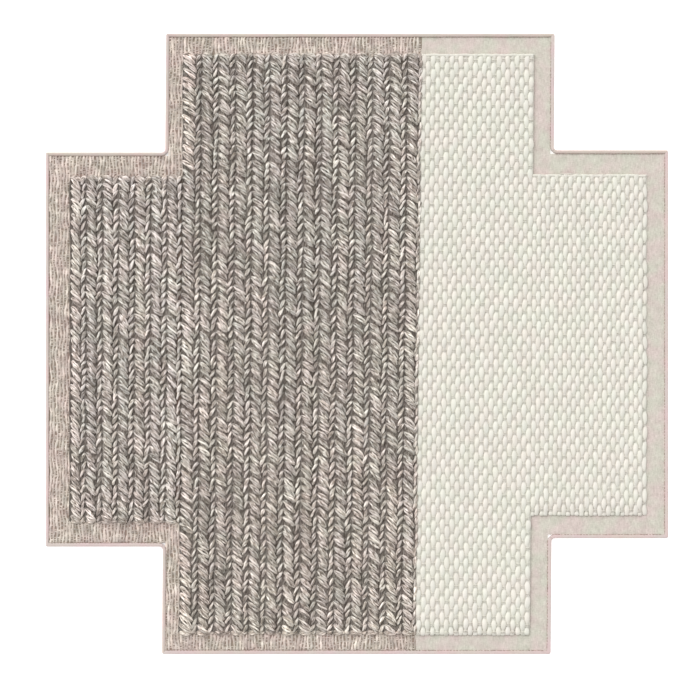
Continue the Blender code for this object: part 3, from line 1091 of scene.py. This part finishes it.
def tape_tints(name, random, along):
    """The tape's tints, with painted shade darkening it towards its inner edge."""
    tints = np.ones((len(along), len(TAPE_PROFILE), 4))
    patches = 0.02 * smooth_noise(random, along, 0.06)[:, None]
    tints[..., 0] = 1.0 + patches
    tints[..., 2] = 1.0 - patches
    across = np.array([inwards for inwards, _ in TAPE_PROFILE])[None] / TAPE_WIDTH
    # Painted shade: the tape darkens towards its inner edge, by the groove beside the ground.
    tints[..., :3] *= (1.12 - 0.25 * across)[..., None]
    if name in TOP_TAPES:
        tints[..., :3] *= np.array([0.95, 0.98, 0.95])
    elif name not in PLAIN_TAPES:
        tints[..., :3] *= np.array([1.09, 1.09, 1.12])
    tints[..., 3] = 0.37
    return tints


def make_tape(corners, index, name):
    """The folded tape along one side of the rug."""
    random = default_rng(900 + index)
    along = distance_along(tape_path(corners, index, TAPE_PROFILE[0][0]))
    points = tape_points(corners, index, random, along)
    rings, around = points.shape[:2]
    t, a, sides, *_ = tube_faces(rings, around)
    ends = [list(range(around)), list(range(rings * around - 1, (rings - 1) * around - 1, -1))]
    mesh = bpy.data.meshes.new("tape_" + name)
    mesh.from_pydata(leaned(points).reshape(-1, 3).tolist(), [], sides.tolist() + ends)
    corner_t, corner_a = side_corners(t, a)
    side_uvs = np.stack([corner_a * PLY_TO_POINT, along[corner_t]], 2).reshape(-1, 2)
    end_t = np.repeat([0, rings - 1], around)
    end_uvs = np.stack([np.tile(np.arange(around), 2) * PLY_TO_POINT, along[end_t]], 1)
    add_uvs(mesh, "yarn", np.concatenate([side_uvs, end_uvs]))
    add_tints(mesh, tape_tints(name, random, along))
    mesh.materials.append(TAPE_CLOTH)
    mesh.update()
    mesh.shade_smooth()
    settle(new_object("tape_" + name, mesh), "binding_tape", "binding_" + name)


def make_stitching(corners):
    """Running stitches in brown thread along the tape's inner edge."""
    random = default_rng(55)
    yarns = Yarns()
    for index in range(len(corners)):
        rail = tape_path(corners, index, STITCH_INSET)
        along = distance_along(rail)
        starts = np.arange(0.006, along[-1] - 0.014, STITCH_SPACING)
        starts = starts + random.uniform(-0.0006, 0.0006, len(starts))
        share = np.linspace(0, 1, 6)
        lengths = random.uniform(0.0042, 0.0076, (len(starts), 1))
        places = starts[:, None] + lengths * share[None]
        x, y = (np.interp(places, along, rail[:, k])
                + random.uniform(-0.0004, 0.0004, (len(starts), 1)) for k in (0, 1))
        z = 0.0062 + 0.0013 * np.sin(math.pi * share)[None] + np.zeros_like(x)
        size = random.uniform(0.0006, 0.0010, (len(starts), 1)) * np.ones_like(x)
        tint = np.ones((len(starts), 6, 4)) * random.uniform(0.8, 1.2, (len(starts), 1, 1))
        tint[..., 3] = random.uniform(0, 1, (len(starts), 1))
        yarns.add(np.stack([x, y, z], 2), size, size, tint, plies=2)
    settle(yarns.build("tape_stitching", STITCH_THREAD), "binding_tape")


def make_binding():
    """The tape round the whole rug, and its stitches."""
    corners = outline()
    for index, name in enumerate(TAPE_NAMES):
        make_tape(corners, index, name)
    make_stitching(corners)


# Floor, light and camera.

def make_floor():
    """A wide pale floor, just under the rug."""
    mesh = bpy.data.meshes.new("floor")
    ends = ((-1, -1), (1, -1), (1, 1), (-1, 1))
    reach, level = 30.0, -0.0002
    mesh.from_pydata([(x * reach, y * reach, level) for x, y in ends], [], [(0, 1, 2, 3)])
    material, _, shader = new_material("pale_floor")
    set_inputs(shader, Base_Color=(0.93, 0.93, 0.93, 1), Emission_Color=(1, 1, 1, 1),
               Emission_Strength=0.42, Specular_IOR_Level=0.0)
    mesh.materials.append(material)
    new_object("floor", mesh)


def make_light():
    """A white sky and one broad, soft key light."""
    world = bpy.data.worlds.new("soft_dome")
    bpy.context.scene.world = world
    world.use_nodes = True
    set_inputs(world.node_tree.nodes["Background"], Color=(1, 1, 1, 1), Strength=0.69)

    key = bpy.data.lights.new("key", "SUN")
    key.energy = 2.35
    key.angle = math.radians(62)
    new_object("key", key).rotation_euler = (math.radians(-38), math.radians(-34), 0)


def make_camera():
    """A camera high above the rug, looking straight down."""
    data = bpy.data.cameras.new("camera")
    data.lens = 85
    data.sensor_width = 36
    camera = new_object("camera", data)
    camera.location = (-0.0185, -0.0171, 4.525)
    bpy.context.scene.camera = camera
    bpy.context.scene.view_settings.view_transform = "Standard"


make_floor()
make_light()
make_camera()
make_grounds()
make_binding()
make_braids()
make_cream_field()

bpy.context.view_layer.update()
